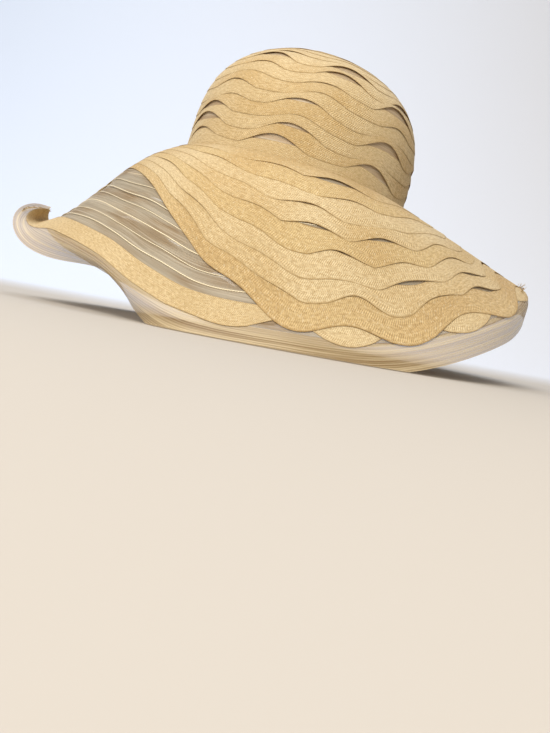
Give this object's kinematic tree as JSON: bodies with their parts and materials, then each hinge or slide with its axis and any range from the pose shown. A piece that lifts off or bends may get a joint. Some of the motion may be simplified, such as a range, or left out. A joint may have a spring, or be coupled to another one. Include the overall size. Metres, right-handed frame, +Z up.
{
  "type": "wide-brim organza hat",
  "caption": "Soft bell-shaped sun hat with a rounded crown and a wide drooping brim of sheer organza, covered in wavy rows of straw braid and edged with a stiff sheer band.",
  "frame": {"origin": "middle of the hat's outline seen from above, on the surface it rests on", "axes": "+Z up through the crown, -Y the front of the brim, +X to the right of someone who looks at the front"},
  "size_m": [0.4374, 0.3922, 0.2428],
  "materials": {
    "organza": "sheer plain weave, slightly glossy",
    "straw_braid": "matte knitted straw braid",
    "crin": "sheer stiff mesh with shiny threads"
  },
  "bodies": {
    "root": {"crown_organza": "organza", "crown_braid_tip": "straw_braid", "crown_braid_01": "straw_braid", "crown_braid_02": "straw_braid", "crown_braid_03": "straw_braid", "crown_braid_04": "straw_braid", "crown_braid_05": "straw_braid", "crown_braid_06": "straw_braid", "crown_braid_07": "straw_braid", "crown_braid_08": "straw_braid", "crown_braid_09": "straw_braid", "brim_organza": "organza", "brim_braid_01": "straw_braid", "brim_braid_02": "straw_braid", "brim_braid_03": "straw_braid", "brim_braid_04": "straw_braid", "brim_braid_05": "straw_braid", "brim_braid_06": "straw_braid", "brim_braid_07": "straw_braid", "brim_border": "crin"}
  },
  "joints": []
}
